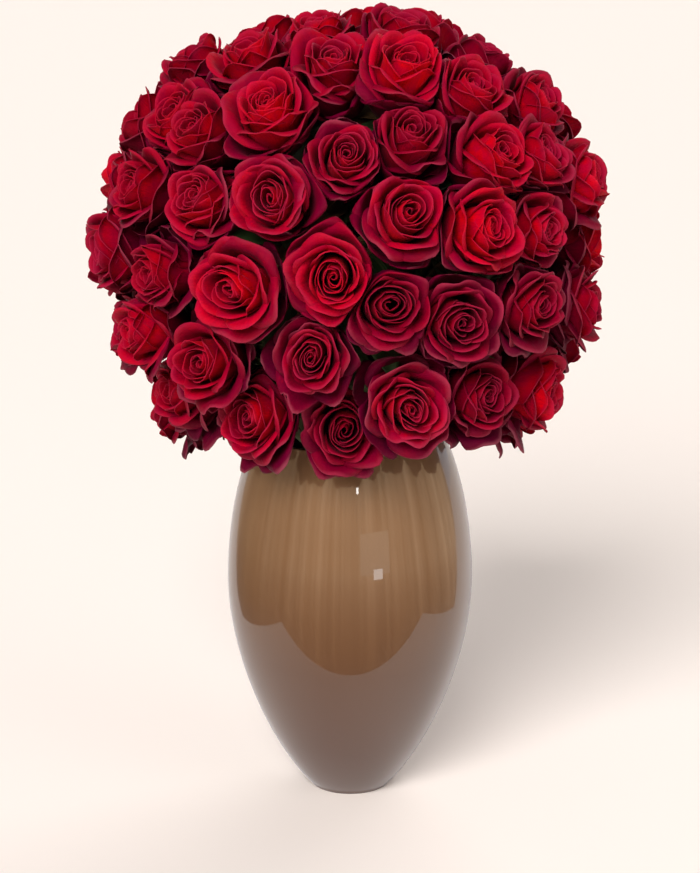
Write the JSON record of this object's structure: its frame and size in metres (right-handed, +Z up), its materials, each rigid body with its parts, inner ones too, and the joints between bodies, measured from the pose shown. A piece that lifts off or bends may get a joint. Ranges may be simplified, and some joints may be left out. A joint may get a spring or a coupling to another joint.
{
  "type": "roses in a vase",
  "caption": "Domed bouquet of tightly packed red roses standing in a glossy brown ovoid vase with a narrow foot.",
  "frame": {"origin": "centre of the vase's flat underside", "axes": "+Z up along the vase's axis, -Y towards the side the roses are arranged to face"},
  "size_m": [0.3367, 0.3372, 0.5253],
  "materials": {
    "petals": "velvety red petals",
    "stems": "waxy green stems, sepals and leaves",
    "glaze": "high gloss brown glaze"
  },
  "bodies": {
    "root": {"rose_01": "petals", "rose_02": "petals", "rose_03": "petals", "rose_04": "petals", "rose_05": "petals", "rose_06": "petals", "rose_07": "petals", "rose_08": "petals", "rose_09": "petals", "rose_10": "petals", "rose_11": "petals", "rose_12": "petals", "rose_13": "petals", "rose_14": "petals", "rose_15": "petals", "rose_16": "petals", "rose_17": "petals", "rose_18": "petals", "rose_19": "petals", "rose_20": "petals", "rose_21": "petals", "rose_22": "petals", "rose_23": "petals", "rose_24": "petals", "rose_25": "petals", "rose_26": "petals", "rose_pair_01": "petals", "rose_pair_02": "petals", "rose_pair_03": "petals", "rose_pair_04": "petals", "rose_pair_05": "petals", "rose_pair_06": "petals", "rose_pair_07": "petals", "rose_pair_08": "petals", "rose_pair_09": "petals", "rose_pair_10": "petals", "rose_pair_11": "petals", "rose_pair_12": "petals", "rose_pair_13": "petals", "rose_pair_14": "petals", "rose_pair_15": "petals", "rose_pair_16": "petals", "rose_pair_17": "petals", "rose_pair_18": "petals", "rose_pair_19": "petals", "rose_pair_20": "petals", "rose_pair_21": "petals", "rose_pair_22": "petals", "rose_pair_23": "petals", "rose_pair_24": "petals", "rose_pair_25": "petals", "rose_pair_26": "petals", "rose_pair_27": "petals", "rose_pair_28": "petals", "rose_pair_29": "petals", "rose_pair_30": "petals", "rose_pair_31": "petals", "rose_pair_32": "petals", "rose_pair_33": "petals", "vase": "glaze"}
  },
  "joints": []
}
